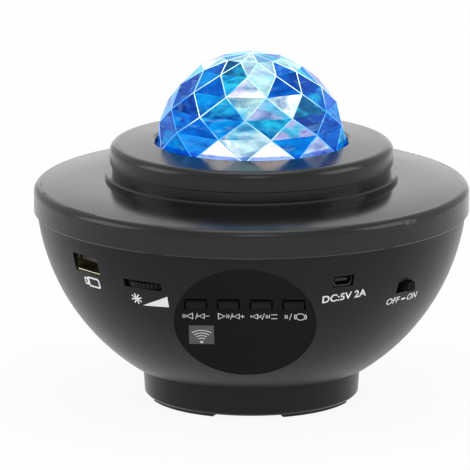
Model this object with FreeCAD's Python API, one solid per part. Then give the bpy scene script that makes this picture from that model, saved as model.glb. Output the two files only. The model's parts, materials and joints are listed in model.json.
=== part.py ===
import FreeCAD
import Part
import math
import os
from FreeCAD import Vector

# A star night light projector, in millimetres. The origin is on the surface it stands on, under the
# middle of the bowl. +Z is up and the front, with the control panel, faces -Y.

# Bowl
bowl_radius = 81.0
bowl_drop = 0.5
bowl_wall = 2.5
bowl_floor_z = 13.5
bowl_rim_z = 71.0
bowl_mouth_inset = 14.5

# Base drum under the bowl
drum_bottom_radius = 40.2
drum_top_radius = 41.0
drum_wall = 2.4
drum_floor = 2.2
foot_height = 1.2
foot_recess = 0.6
foot_inner_radius = 31.5
foot_outer_radius = 38.5
foot_sweep = 50.0
grille_slot_width = 1.8
grille_ring_radii = (5.0, 10.0, 15.0, 20.0)
grille_rib = 2.4
base_screw_circle = 34.8
base_screw_radius = 1.25
base_screw_head_radius = 2.4
base_screw_head_height = 1.4
base_screw_length = 12.0
base_post_radius = 3.4

# Loudspeaker, firing down through the grille
speaker_radius = 26.0
speaker_flange = 1.2
speaker_flange_width = 3.0
speaker_frame_height = 15.0
speaker_neck_radius = 13.0
speaker_wall = 0.9
magnet_radius = 15.0
magnet_height = 7.0
cone_wall = 0.8
cone_roll = 1.6
cone_depth = 9.0
cone_cap = 2.5
coil_length = 3.0
voice_coil_radius = 8.0
grille_gap = 2.0

# Lid
rim_overhang = 0.7
rim_side_top_z = 78.6
rim_rounding = 3.0
lid_wall = 2.4
lid_rise = 2.2
lid_bulge = 0.26
lid_foot_radius = 57.0
skirt_depth = 4.0
skirt_wall = 2.0
skirt_clearance = 0.5
hook_count = 6
hook_width = 9.0
lid_opening_radius = 46.0

# Collar round the dome
flange_radius = 55.0
flange_height = 1.9
neck_radius = 52.4
neck_height = 3.6
ring_radius = 53.2
ring_side_height = 4.6
ring_rounding = 3.2
collar_slope = 1.0
collar_wall = 2.2
lip_clearance = 0.3
collar_post_circle = 49.0
collar_post_radius = 2.2

# Crystal dome
dome_radius = 36.0
dome_centre_z = 95.4
dome_wall = 2.2
facets_around = 11
facet_latitudes = (2.0, 15.5, 27.5, 42.0, 58.0, 72.0)
facet_azimuth = -2.4
dome_cap_latitude = 84.0
dome_flange_height = 1.8

# Lamp tray, rotor and motor
tray_drop = 5.8
tray_thickness = 2.0
tray_radius = 39.5
tray_wall = 1.5
tray_flange_radius = 52.5
hub_radius = 16.0
hub_bore = 13.0
running_clearance = 0.05
gear_module = 0.8
rotor_teeth = 68
pinion_teeth = 12
gear_width = 3.2
gear_backlash = 0.12
rotor_float = 0.3
ripple_radius = 24.5
ripple_wall = 1.5
ripple_ribs = 6
ripple_depth = 0.7
ripple_seat = 0.8
ripple_top_latitude = 76.0
grating_radius = 4.0
grating_thickness = 0.6
motor_radius = 7.5
motor_length = 11.0
motor_shaft_radius = 1.0
motor_azimuth = 90.0
led_board_radius = 12.6
led_board_thickness = 1.6
led_count = 6
led_circle = 8.8
led_size = 3.0
led_height = 1.2
laser_radius = 3.0
laser_length = 12.0
heat_sink_radius = 12.5
heat_sink_base = 2.0
heat_sink_depth = 9.0
heat_sink_fins = 7
heat_sink_fin_thickness = 1.0

# Control panel and keys
panel_tilt = 28.5
panel_radius = 26.2
panel_thickness = 2.0
panel_clearance = 0.15
panel_ledge = 2.0
panel_collar_wall = 2.0
panel_inset = 0.1
key_count = 4
key_pitch = 12.05
key_width = 7.3
key_height = 3.3
key_up = 8.2
key_side_gap = 0.6
key_top_gap = 1.5
key_bottom_gap = 0.15
key_recess = 0.9
key_travel = 0.5
key_flange_edge = 0.5
key_flange_thickness = 0.8
key_flange_clearance = 0.3
key_rest_gap = 0.1
plunger_radius = 1.4
plunger_length = 1.6
plunger_depth = 0.6
tact_size = 5.2
tact_height = 2.6
key_board_gap = 7.2
key_board_thickness = 1.2
key_board_width = 44.0
key_board_height = 26.0
window_size = 9.2
window_lip = 0.8
window_across = -16.2
window_up = -6.4
receiver_radius = 2.6
receiver_height = 3.6
key_post_radius = 2.0
key_post_across = 17.0
key_post_up = -6.4
key_post_mirror_across = 6.0

# Main board with the sockets and controls in the bowl wall
board_top_z = 58.4
board_thickness = 1.6
board_inner_radius = 36.0
board_edge_gap = 3.8
board_first_azimuth = -74.0
board_last_azimuth = 66.0
board_post_radius = 3.0
board_screw_radius = 1.2
board_screw_head_radius = 2.3
board_screw_head_height = 1.3
board_screw_length = 6.0
collar_screw_length = 11.0
screw_clearance = 0.2
board_post_azimuths = (-68.0, 2.0, 60.0)
board_post_insets = (8.8, 29.8, 10.8)

usb_azimuth = -49.2
usb_width = 13.1
usb_height = 5.6
usb_depth = 14.0
usb_metal = 0.35
usb_tongue_thickness = 1.8
dc_azimuth = 27.6
dc_width = 7.7
dc_height = 3.9
dc_depth = 8.0
dc_metal = 0.3
dc_tongue_thickness = 1.1
socket_setback = 0.8
socket_wall_gap = 0.3

wheel_azimuth = -29.2
wheel_radius = 10.0
wheel_thickness = 1.9
wheel_proud = 0.9
wheel_bore_radius = 2.0
wheel_notches = 40
wheel_notch_depth = 0.4
wheel_slot_gap = 0.55
dimmer_body_radius = 4.4
dimmer_body_height = 2.6
dimmer_arm_length = 13.0
dimmer_arm_width = 9.0

switch_azimuth = 49.6
switch_z = 53.8
switch_body_width = 11.0
switch_body_height = 6.4
switch_body_depth = 5.6
switch_knob_width = 3.6
switch_knob_height = 3.4
switch_knob_proud = 2.4
switch_travel = 3.0
switch_slot_gap = 0.5

# Values worked out from the sizes above
up = Vector(0, 0, 1)
origin = Vector(0, 0, 0)
bowl_centre_z = bowl_radius - bowl_drop
bowl_centre = Vector(0, 0, bowl_centre_z)
bowl_inner_radius = bowl_radius - bowl_wall
drum_floor_top_z = foot_height + drum_floor
foot_top_z = foot_height + foot_recess
speaker_seat_z = drum_floor_top_z + grille_gap
speaker_top_z = speaker_seat_z + speaker_frame_height
rim_radius = bowl_radius + rim_overhang
lid_shoulder_z = rim_side_top_z + rim_rounding
lid_foot_z = lid_shoulder_z + lid_rise
flange_top_z = lid_foot_z + flange_height
neck_top_z = flange_top_z + neck_height
ring_top_z = neck_top_z + ring_side_height
collar_top_z = ring_top_z + ring_rounding
lip_z = collar_top_z + collar_slope
lip_radius = dome_radius + lip_clearance
dome_foot_z = lip_z - collar_wall - dome_flange_height
panel_distance = math.sqrt(bowl_radius ** 2 - panel_radius ** 2) - panel_inset
tray_height_z = lid_foot_z - tray_drop
tray_flange_z = lid_foot_z - lid_wall - tray_thickness
tray_top_z = tray_height_z + tray_thickness
rotor_z = tray_top_z + rotor_float
rotor_pitch_radius = gear_module * rotor_teeth / 2
pinion_pitch_radius = gear_module * pinion_teeth / 2
gear_centres = rotor_pitch_radius + pinion_pitch_radius
board_bottom_z = board_top_z - board_thickness
board_wall_radius = math.sqrt(bowl_inner_radius ** 2 - (board_bottom_z - bowl_centre_z) ** 2)
board_outer_radius = board_wall_radius - board_edge_gap
key_hole_width = key_width + 2 * key_side_gap
key_hole_height = key_height + key_top_gap + key_bottom_gap
key_hole_up = key_up + (key_top_gap - key_bottom_gap) / 2
key_spots = [(i - (key_count - 1) / 2) * key_pitch for i in range(key_count)]


def bowl_radius_at(z, radius=bowl_radius):
    return math.sqrt(radius ** 2 - (z - bowl_centre_z) ** 2)


def outward(azimuth):
    angle = math.radians(azimuth)
    return Vector(math.sin(angle), -math.cos(angle), 0)


def sideways(azimuth):
    angle = math.radians(azimuth)
    return Vector(math.cos(angle), math.sin(angle), 0)


def tube(inner, outer, z, height):
    return Part.makeCylinder(outer, height, Vector(0, 0, z)).cut(Part.makeCylinder(inner, height, Vector(0, 0, z)))


def disc(radius, z, height, x=0.0, y=0.0):
    return Part.makeCylinder(radius, height, Vector(x, y, z))


def turned(start, steps):
    """Revolve an outline of (radius, z) points about Z. A step of four numbers is an arc through a point."""
    edges = []
    here = Vector(start[0], 0, start[1])
    for step in list(steps) + [start]:
        there = Vector(step[-2], 0, step[-1])
        if len(step) == 4:
            edges.append(Part.Arc(here, Vector(step[0], 0, step[1]), there).toShape())
        elif here.distanceToPoint(there) > 1e-6:
            edges.append(Part.LineSegment(here, there).toShape())
        here = there
    return Part.Face(Part.Wire(edges)).revolve(origin, up, 360)


def corner_arc(radius, z, size):
    """The middle point of a rounded shoulder that turns from a side wall into a top."""
    reach = size * math.sqrt(0.5)
    return (radius - size + reach, z - size + reach)


def placed(shape, position, across, upward, out):
    """Move a shape built in local axes, X across, Y upward and Z out, to its place."""
    moved = shape.copy()
    matrix = FreeCAD.Matrix(
        across.x, upward.x, out.x, position.x,
        across.y, upward.y, out.y, position.y,
        across.z, upward.z, out.z, position.z, 0, 0, 0, 1)
    moved.Placement = FreeCAD.Placement(matrix).multiply(moved.Placement)
    return moved


def on_wall(shape, azimuth, z):
    """Place a shape on the upright axis of the bowl at a height, looking out at an azimuth."""
    return placed(shape, Vector(0, 0, z), sideways(azimuth), up, outward(azimuth))


def on_panel(shape, depth=0.0):
    """Place a shape on the control panel's outer face, or at a depth behind it."""
    tilt = math.radians(panel_tilt)
    out = Vector(0, -math.cos(tilt), -math.sin(tilt))
    upward = Vector(0, -math.sin(tilt), math.cos(tilt))
    return placed(shape, bowl_centre + out * (panel_distance - depth), Vector(1, 0, 0), upward, out)


def block(width, height, depth, x=0.0, y=0.0, z=0.0):
    """A box centred on x and y, from z outward."""
    return Part.makeBox(width, height, depth, Vector(x - width / 2, y - height / 2, z))


def rounded_block(width, height, depth, corner, x=0.0, y=0.0, z=0.0):
    solid = block(width, height, depth, x, y, z)
    edges = [e for e in solid.Edges if abs(e.BoundBox.ZLength - depth) < 1e-6]
    return solid.makeFillet(corner, edges)


def around(shape, count, first=0.0):
    copies = []
    for i in range(count):
        copy = shape.copy()
        copy.rotate(origin, up, first + i * 360.0 / count)
        copies.append(copy)
    return copies


def screw(radius, length, head_radius, head_height, x, y, z, head_up):
    """A pan-head screw on an upright axis. z is the seat of its head."""
    drive = block(head_radius, 0.5, head_height / 2).fuse(block(0.5, head_radius, head_height / 2))
    if head_up:
        shank = disc(radius, z - length, length, x, y)
        head = disc(head_radius, z, head_height, x, y)
        drive.translate(Vector(x, y, z + head_height / 2))
    else:
        shank = disc(radius, z, length, x, y)
        head = disc(head_radius, z - head_height, head_height, x, y)
        drive.translate(Vector(x, y, z - head_height))
    return shank.fuse(head).cut(drive).removeSplitter()


def gear(teeth, width, bore, z, thinning):
    """A spur gear with straight-flanked teeth, its first tooth on +X."""
    pitch = gear_module * teeth / 2
    tip = pitch + gear_module
    root = pitch - 1.2 * gear_module
    body = disc(root, z, width)
    half = math.pi / (2 * teeth) - thinning / (2 * pitch)
    corners = []
    for radius, spread in ((root - 0.3, 1.7), (pitch, 1.0), (tip, 0.42)):
        corners.append((radius, half * spread))
    outline = [Vector(r * math.cos(a), r * math.sin(a), z) for r, a in corners]
    outline += [Vector(v.x, -v.y, z) for v in reversed(outline)]
    tooth = Part.Face(Part.makePolygon(outline + [outline[0]])).extrude(Vector(0, 0, width))
    wheel = body.multiFuse(around(tooth, teeth))
    if bore > 0:
        wheel = wheel.cut(disc(bore, z, width))
    return wheel.removeSplitter()


# Panel pieces, built flat in the panel's own axes

def key_window(x):
    """The opening for one key, with a wide gap above the key and a thin one below."""
    return block(key_hole_width, key_hole_height, panel_thickness, x, key_hole_up, -panel_thickness)


def control_panel():
    panel = Part.makeCylinder(panel_radius - panel_clearance, panel_thickness, Vector(0, 0, -panel_thickness))
    for x in key_spots:
        panel = panel.cut(key_window(x))
    seat = block(window_size, window_size, panel_thickness, window_across, window_up, -panel_thickness)
    ledge = block(window_size - 2 * window_lip, window_size - 2 * window_lip, panel_thickness,
                  window_across, window_up, -panel_thickness)
    seat.translate(Vector(0, 0, panel_thickness / 2))
    panel = panel.cut(seat).cut(ledge)
    for x in (-key_post_mirror_across, key_post_across):
        length = key_board_gap - panel_thickness
        post = Part.makeCylinder(key_post_radius, length, Vector(x, key_post_up, -key_board_gap))
        bore = Part.makeCylinder(board_screw_radius, length, Vector(x, key_post_up, -key_board_gap))
        panel = panel.fuse(post).cut(bore)
    return on_panel(panel.removeSplitter())


def ir_window():
    pane = block(window_size, window_size, panel_thickness / 2, window_across, window_up, -panel_thickness / 2)
    plug_size = window_size - 2 * window_lip
    plug = block(plug_size, plug_size, panel_thickness / 2, window_across, window_up, -panel_thickness)
    return on_panel(pane.fuse(plug).removeSplitter())


def key_button(x):
    """A key cap with a face that dips at its upper edge, the flange behind its opening and a stem."""
    back = -panel_thickness - key_rest_gap
    cap = rounded_block(key_width, key_height, -back, 0.4, x, key_up, back)
    low = Vector(x - key_width, key_up - key_height / 2, 0)
    corners = [low, low + Vector(0, key_height, -key_recess), low + Vector(0, key_height, 1), low + Vector(0, 0, 1)]
    shave = Part.Face(Part.makePolygon(corners + [corners[0]])).extrude(Vector(2 * key_width, 0, 0))
    flange = block(key_hole_width + 2 * key_flange_edge, key_hole_height + 2 * key_flange_edge,
                   key_flange_thickness, x, key_hole_up, back - key_flange_thickness)
    tact_top = -key_board_gap + tact_height
    stem_end = tact_top + plunger_length
    stem = Part.makeCylinder(plunger_radius, back - stem_end, Vector(x, key_up, stem_end))
    return on_panel(cap.cut(shave).fuse(flange).fuse(stem).removeSplitter())


def switch_plunger(x):
    tact_top = -key_board_gap + tact_height
    length = plunger_length + plunger_depth
    return on_panel(Part.makeCylinder(plunger_radius, length, Vector(x, key_up, tact_top - plunger_depth)))


def tact_switch(x):
    body = block(tact_size, tact_size, tact_height, x, key_up, -key_board_gap)
    well_depth = plunger_depth + key_travel + 0.2
    well = Part.makeCylinder(plunger_radius + running_clearance, well_depth,
                             Vector(x, key_up, -key_board_gap + tact_height - well_depth))
    return on_panel(body.cut(well))


def key_board():
    board = rounded_block(key_board_width, key_board_height, key_board_thickness, 2.0,
                          0, 0, -key_board_gap - key_board_thickness)
    for x in (-key_post_mirror_across, key_post_across):
        board = board.cut(Part.makeCylinder(board_screw_radius + screw_clearance, key_board_thickness,
                                            Vector(x, key_post_up, -key_board_gap - key_board_thickness)))
    return on_panel(board)


def key_board_screws():
    screws = []
    for x in (-key_post_mirror_across, key_post_across):
        seat = -key_board_gap - key_board_thickness
        one = screw(board_screw_radius, key_board_thickness + 3.5, board_screw_head_radius,
                    board_screw_head_height, x, key_post_up, seat, False)
        screws.append(on_panel(one))
    return Part.makeCompound(screws)


def ir_receiver():
    body = block(5.6, 6.0, 2.2, window_across, window_up, -key_board_gap)
    lens = Part.makeSphere(receiver_radius, Vector(window_across, window_up, -key_board_gap + 2.2 - 1.2))
    lens = lens.common(block(6, 6, receiver_height, window_across, window_up, -key_board_gap))
    return on_panel(body.fuse(lens).removeSplitter())


# Bowl and base

def socket_hole(azimuth, z, width, height):
    """A straight opening through the bowl wall, looking out at an azimuth."""
    return on_wall(block(width, height, bowl_radius, 0, 0, bowl_radius / 2), azimuth, z)


def usb_z():
    return board_top_z + 0.1 + usb_height / 2 + usb_metal


def dc_z():
    return board_top_z + 0.1 + dc_height / 2


def wheel_z():
    return board_bottom_z + wheel_thickness / 2 + 0.1


def wheel_axis():
    reach = bowl_radius_at(wheel_z()) + wheel_proud - wheel_radius
    return outward(wheel_azimuth) * reach


def board_post_spots():
    return [outward(azimuth) * (board_wall_radius - inset)
            for azimuth, inset in zip(board_post_azimuths, board_post_insets)]


def bowl_shell():
    """The bowl: a thin spherical shell with a flat foot, the panel seat, board posts and wall openings."""
    foot = bowl_radius_at(bowl_floor_z)
    mouth = foot - bowl_mouth_inset
    rim = bowl_radius_at(bowl_rim_z)
    belly_z = (bowl_floor_z + bowl_rim_z) / 2
    floor_top_z = bowl_floor_z + bowl_wall
    inner_foot = bowl_radius_at(floor_top_z, bowl_inner_radius)
    inner_rim = bowl_radius_at(bowl_rim_z, bowl_inner_radius)
    shell = turned((mouth, bowl_floor_z), [
        (foot, bowl_floor_z),
        (bowl_radius_at(belly_z), belly_z, rim, bowl_rim_z),
        (inner_rim, bowl_rim_z),
        (bowl_radius_at(belly_z, bowl_inner_radius), belly_z, inner_foot, floor_top_z),
        (mouth, floor_top_z)])
    envelope = turned((0, bowl_floor_z), [
        (foot, bowl_floor_z), (bowl_radius_at(belly_z), belly_z, rim, bowl_rim_z), (0, bowl_rim_z)])
    depth = panel_thickness + panel_ledge
    collar = Part.makeCylinder(panel_radius + panel_collar_wall, depth + bowl_wall + 2, Vector(0, 0, -depth))
    shell = shell.fuse(on_panel(collar).common(envelope))
    for spot in board_post_spots():
        foot_z = bowl_centre_z - math.sqrt(bowl_inner_radius ** 2 - (spot.Length - board_post_radius) ** 2)
        post = disc(board_post_radius, foot_z - bowl_wall, board_bottom_z - foot_z + bowl_wall, spot.x, spot.y)
        shell = shell.fuse(post.common(envelope))
        shell = shell.cut(disc(board_screw_radius, board_bottom_z - board_screw_length, board_screw_length,
                               spot.x, spot.y))
    pocket = Part.makeCylinder(panel_radius, bowl_wall + 6, Vector(0, 0, -panel_thickness))
    opening = Part.makeCylinder(panel_radius - panel_ledge, bowl_wall + 14, Vector(0, 0, -depth - 6))
    shell = shell.cut(on_panel(pocket)).cut(on_panel(opening)).cut(key_relief(depth + 6))
    skirt_room = skirt_outer_radius() + skirt_clearance / 2
    shell = shell.cut(disc(skirt_room, bowl_rim_z - skirt_depth - 0.3, skirt_depth + 1))
    gap = 2 * socket_wall_gap
    shell = shell.cut(socket_hole(usb_azimuth, usb_z(), usb_width + 2 * usb_metal + gap,
                                  usb_height + 2 * usb_metal + gap))
    shell = shell.cut(socket_hole(dc_azimuth, dc_z(), dc_width + gap, dc_height + gap))
    shell = shell.cut(wheel_slot())
    shell = shell.cut(socket_hole(switch_azimuth, switch_z, switch_knob_width + switch_travel + 2 * switch_slot_gap,
                                  switch_knob_height + 2 * switch_slot_gap))
    for post in around(disc(base_screw_radius, bowl_floor_z - 1, bowl_wall + 2, base_screw_circle), 4, 45):
        shell = shell.cut(post)
    return shell.removeSplitter()


def key_relief(depth):
    """Room in the panel's ledge for the flanges of the outer keys."""
    margin = key_flange_edge + key_flange_clearance
    width = 2 * (key_spots[-1] + margin) + key_hole_width
    height = key_hole_height + 2 * margin
    return on_panel(block(width, height, depth - panel_thickness, 0, key_hole_up, -depth))


def skirt_outer_radius():
    return bowl_radius_at(bowl_rim_z - skirt_depth, bowl_inner_radius) - skirt_clearance


def wheel_slot():
    """The slot for the thumbwheel, as wide as the wheel is where it passes the inner wall."""
    setback = bowl_radius_at(wheel_z()) - bowl_wall - wheel_axis().Length
    half = math.sqrt(wheel_radius ** 2 - setback ** 2) + wheel_slot_gap
    return socket_hole(wheel_azimuth, wheel_z(), 2 * half, wheel_thickness + 2 * wheel_slot_gap)


def grille_slots():
    """Ring slots under the loudspeaker, crossed by three straight ribs."""
    half = grille_slot_width / 2
    slots = Part.makeCompound([tube(r - half, r + half, 0, drum_floor_top_z) for r in grille_ring_radii])
    reach = 2 * (grille_ring_radii[-1] + grille_slot_width)
    ribs = around(Part.makeBox(reach, grille_rib, drum_floor_top_z, Vector(-reach / 2, -grille_rib / 2, 0)), 6)
    return slots.cut(ribs[0].multiFuse(ribs[1:3]))


def foot_pad(grow=0.0):
    pad = tube(foot_inner_radius - grow, foot_outer_radius + grow, 0, foot_top_z)
    half = foot_sweep / 2 + grow
    wedge = Part.makeCylinder(60, foot_top_z, origin, up, 2 * half)
    wedge.rotate(origin, up, -half)
    return pad.common(wedge)


def base_drum():
    """The drum that the bowl stands on: its floor is the loudspeaker grille, with posts for four screws."""
    z = foot_height
    drum = turned((0, z), [
        (drum_bottom_radius - 0.8, z), (drum_bottom_radius, z + 0.8), (drum_top_radius, bowl_floor_z),
        (drum_top_radius - drum_wall, bowl_floor_z), (drum_bottom_radius - drum_wall, drum_floor_top_z),
        (0, drum_floor_top_z)])
    seat = tube(speaker_radius - speaker_flange_width, speaker_radius + 1.5, drum_floor_top_z, grille_gap)
    drum = drum.fuse(seat)
    post_height = bowl_floor_z - drum_floor_top_z
    drum = drum.multiFuse(around(disc(base_post_radius, drum_floor_top_z, post_height, base_screw_circle), 4, 45))
    for bore in around(disc(base_screw_radius + screw_clearance, 0, bowl_floor_z, base_screw_circle), 4, 45):
        drum = drum.cut(bore)
    sink = base_screw_head_height + foot_recess
    drum = drum.cut(Part.makeCompound(
        around(disc(base_screw_head_radius + 0.3, z, sink, base_screw_circle), 4, 45)))
    drum = drum.cut(Part.makeCompound(around(foot_pad(0.15), 4, 45)))
    return drum.cut(grille_slots())


def rubber_feet():
    return Part.makeCompound(around(foot_pad(), 4, 45))


def base_screws():
    seat = foot_height + foot_recess + base_screw_head_height
    one = screw(base_screw_radius, base_screw_length, base_screw_head_radius, base_screw_head_height,
                base_screw_circle, 0, seat, False)
    return Part.makeCompound(around(one, 4, 45))


# Loudspeaker

def speaker_basket():
    z = speaker_seat_z
    top = speaker_top_z
    wall = speaker_wall
    basket = turned((speaker_radius - speaker_flange_width, z), [
        (speaker_radius, z), (speaker_radius, z + speaker_flange), (speaker_radius - 2.0, z + speaker_flange),
        (speaker_neck_radius + wall, top), (voice_coil_radius + 1.0, top), (voice_coil_radius + 1.0, top - wall),
        (speaker_neck_radius, top - wall), (speaker_radius - speaker_flange_width, z + speaker_flange)])
    slot = Part.makeBox(speaker_radius, 7.0, speaker_frame_height - speaker_flange - 3 * wall,
                        Vector(speaker_neck_radius + 2, -3.5, z + speaker_flange + wall))
    for cut in around(slot, 6, 30):
        basket = basket.cut(cut)
    return basket


def speaker_cone():
    """The paper cone: a rolled surround, the cone itself and the dust cap, in one thin skin."""
    edge_z = speaker_seat_z + 0.2
    edge = speaker_radius - speaker_flange_width
    roll = cone_roll
    throat_z = speaker_seat_z + cone_depth
    coil_top_z = throat_z + coil_length
    cap_z = throat_z - cone_cap
    wall = cone_wall
    inside = voice_coil_radius - wall
    cap_rise = cone_cap - wall / 2
    return turned((0, cap_z), [
        (inside - cap_rise, cap_z + cap_rise / 4), (voice_coil_radius, throat_z), (edge - 3 * roll, edge_z),
        (edge - 2 * roll, edge_z - roll), (edge - roll, edge_z - roll), (edge, edge_z),
        (edge, edge_z + wall), (edge - roll - wall / 2, edge_z + wall - roll),
        (edge - 2 * roll + wall / 2, edge_z + wall - roll), (edge - 3 * roll + wall, edge_z + wall),
        (voice_coil_radius, throat_z + 1.5 * wall), (voice_coil_radius, coil_top_z), (inside, coil_top_z),
        (inside, throat_z + wall / 2), (inside - cap_rise, cap_z + cap_rise / 4 + wall), (0, cap_z + wall)])


def speaker_magnet():
    z = speaker_top_z
    magnet = disc(magnet_radius, z, magnet_height).fuse(disc(magnet_radius + 1.0, z + magnet_height, 1.0))
    return magnet.cut(disc(2.0, z, magnet_height + 1.0)).removeSplitter()


# Lid and collar

def top_cover():
    """The lid: a rounded rim, a gently rising top and a skirt that hooks inside the bowl."""
    shoulder = corner_arc(rim_radius, lid_shoulder_z, rim_rounding)
    inside = rim_radius - lid_wall
    skirt_outer = skirt_outer_radius()
    top_mid = (rim_radius + lid_foot_radius) / 2
    lid = turned((skirt_outer, bowl_rim_z), [
        (rim_radius - 0.5, bowl_rim_z), (rim_radius, bowl_rim_z + 0.5), (rim_radius, rim_side_top_z),
        (shoulder[0], shoulder[1], rim_radius - rim_rounding, lid_shoulder_z),
        (top_mid, lid_shoulder_z + lid_rise / 2 + lid_bulge, lid_foot_radius, lid_foot_z),
        (lid_opening_radius, lid_foot_z), (lid_opening_radius, lid_foot_z - lid_wall),
        (lid_foot_radius, lid_foot_z - lid_wall), (inside - rim_rounding / 2, lid_shoulder_z - lid_wall),
        (inside, lid_shoulder_z - lid_wall - rim_rounding / 2), (inside, bowl_rim_z + lid_wall), (skirt_outer - skirt_wall, bowl_rim_z + lid_wall),
        (skirt_outer - skirt_wall, bowl_rim_z - skirt_depth), (skirt_outer, bowl_rim_z - skirt_depth)])
    hook = turned((skirt_outer - 0.5, bowl_rim_z - skirt_depth), [
        (skirt_outer, bowl_rim_z - skirt_depth), (skirt_outer + skirt_clearance, bowl_rim_z - skirt_depth + 1.2),
        (skirt_outer, bowl_rim_z - skirt_depth + 1.6), (skirt_outer - 0.5, bowl_rim_z - skirt_depth + 1.6)])
    slice_ = Part.makeBox(rim_radius, hook_width, lid_foot_z, Vector(0, -hook_width / 2, 0))
    lid = lid.multiFuse(around(hook.common(slice_), hook_count, 15))
    for bore in around(disc(board_screw_radius + screw_clearance, lid_foot_z - lid_wall, lid_wall, collar_post_circle), 4, 45):
        lid = lid.cut(bore)
    return lid.removeSplitter()


def dome_collar():
    """The stepped collar on the lid, which holds the dome's flange under its lip."""
    crown = corner_arc(ring_radius, collar_top_z, ring_rounding)
    inner_top_z = collar_top_z - collar_wall
    collar = turned((lid_opening_radius, lid_foot_z), [
        (flange_radius, lid_foot_z), (flange_radius, flange_top_z - 0.6), (flange_radius - 0.6, flange_top_z),
        (neck_radius, flange_top_z), (neck_radius, neck_top_z), (ring_radius, neck_top_z + 0.4),
        (ring_radius, ring_top_z), (crown[0], crown[1], ring_radius - ring_rounding, collar_top_z),
        (lip_radius + 1.0, lip_z), (lip_radius, lip_z - 0.6), (lip_radius, lip_z - collar_wall),
        (tray_radius + 0.5, lip_z - collar_wall), (tray_radius + 2.0, inner_top_z),
        (neck_radius - collar_wall - 2, inner_top_z), (neck_radius - collar_wall, inner_top_z - 2),
        (neck_radius - collar_wall, flange_top_z), (lid_opening_radius, flange_top_z)])
    post = disc(collar_post_radius, flange_top_z, inner_top_z - flange_top_z, collar_post_circle)
    collar = collar.multiFuse(around(post, 4, 45))
    bore = disc(board_screw_radius, lid_foot_z, 8.0, collar_post_circle)
    return collar.cut(Part.makeCompound(around(bore, 4, 45))).removeSplitter()


def collar_screws():
    one = screw(board_screw_radius, collar_screw_length, board_screw_head_radius, board_screw_head_height,
                collar_post_circle, 0, tray_flange_z, False)
    return Part.makeCompound(around(one, 4, 45))


# Crystal dome

def dome_ring(row):
    """The corner points of one ring of facets. Every second ring is turned by half a facet."""
    latitude = math.radians(facet_latitudes[row])
    points = []
    for i in range(facets_around):
        azimuth = facet_azimuth + 360.0 * (i + 0.5 * (row % 2)) / facets_around
        reach = outward(azimuth) * (dome_radius * math.cos(latitude))
        points.append(reach + Vector(0, 0, dome_centre_z + dome_radius * math.sin(latitude)))
    return points


def facet(*points):
    return Part.Face(Part.makePolygon(list(points) + [points[0]]))


def crystal_dome():
    """The faceted dome: triangles between staggered rings of points, pairs of which make the rhombs."""
    rings = [dome_ring(row) for row in range(len(facet_latitudes))]
    n = facets_around
    foot = [Vector(p.x, p.y, dome_foot_z) for p in rings[0]]
    crown = Vector(0, 0, dome_centre_z + dome_radius * math.sin(math.radians(dome_cap_latitude)))
    faces = [facet(*foot)]
    for i in range(n):
        j = (i + 1) % n
        faces.append(facet(foot[i], foot[j], rings[0][j], rings[0][i]))
        for row in range(len(rings) - 1):
            low, high = rings[row], rings[row + 1]
            k = i if row % 2 == 0 else j
            faces.append(facet(low[i], low[j], high[k]))
            h = (k + 1) % n
            if row % 2 == 0:
                faces.append(facet(high[k], low[j], high[h]))
            else:
                faces.append(facet(high[i], low[i], high[j]))
        faces.append(facet(rings[-1][i], rings[-1][j], crown))
    solid = Part.Solid(Part.Shell(faces))
    inner = dome_radius - dome_wall
    ribs = [(inner * math.cos(a), dome_centre_z + inner * math.sin(a)) for a in map(math.radians, facet_latitudes)]
    hollow = turned((0, dome_foot_z), [(ribs[0][0], dome_foot_z)] + ribs + [(0, ribs[-1][1])])
    flange = disc(tray_radius, dome_foot_z, dome_flange_height)
    return solid.fuse(flange).cut(hollow)


# Lamp tray, lamps and drive

def lamp_tray():
    """A cup that presses the dome's flange up under the collar's lip, with the rotor's bearing hub."""
    cup_inner = tray_radius - tray_wall
    tray = disc(tray_radius, tray_height_z, tray_thickness)
    tray = tray.fuse(tube(cup_inner, tray_radius, tray_height_z, dome_foot_z - tray_height_z))
    tray = tray.fuse(tube(cup_inner, tray_flange_radius, tray_flange_z, tray_thickness))
    tray = tray.fuse(disc(hub_radius, tray_height_z, tray_thickness + gear_width + 2 * rotor_float))
    tray = tray.cut(disc(hub_bore, tray_height_z, dome_foot_z - tray_height_z))
    axis = outward(motor_azimuth) * gear_centres
    tray = tray.cut(disc(motor_shaft_radius + 1.6, tray_height_z, tray_thickness, axis.x, axis.y))
    hole = disc(board_screw_radius + screw_clearance, tray_flange_z, tray_thickness, collar_post_circle)
    return tray.cut(Part.makeCompound(around(hole, 4, 45))).removeSplitter()


def rotor_gear():
    wheel = gear(rotor_teeth, gear_width, hub_radius + running_clearance, rotor_z, gear_backlash)
    groove = tube(ripple_radius - ripple_wall, ripple_radius, rotor_z + gear_width - ripple_seat, ripple_seat)
    return wheel.cut(groove)


def ripple_dome():
    """The inner lens: a half ball with rings of ripples, which bends the lamps' light into waves."""
    foot_z = rotor_z + gear_width - ripple_seat
    inner = ripple_radius - ripple_wall
    outline = []
    for i in range(ripple_ribs + 1):
        angle = math.radians(ripple_top_latitude) * i / ripple_ribs
        swell = 1.0 if i % 2 else 1.0 - ripple_depth / ripple_radius
        outline.append((ripple_radius * swell * math.cos(angle),
                        ripple_foot_z() + ripple_radius * swell * math.sin(angle)))
    hollow_top_z = outline[-1][1] - ripple_wall
    mid = math.radians(ripple_top_latitude / 2)
    return turned((ripple_radius, foot_z), [(ripple_radius, ripple_foot_z() - 0.5)] + outline + [
        (0, outline[-1][1]), (0, hollow_top_z), (outline[-1][0], hollow_top_z),
        (inner * math.cos(mid) - ripple_depth, ripple_foot_z() + inner * math.sin(mid) - ripple_depth),
        (inner, ripple_foot_z()), (inner, foot_z)])


def ripple_foot_z():
    return rotor_z + gear_width + 2.0


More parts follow.
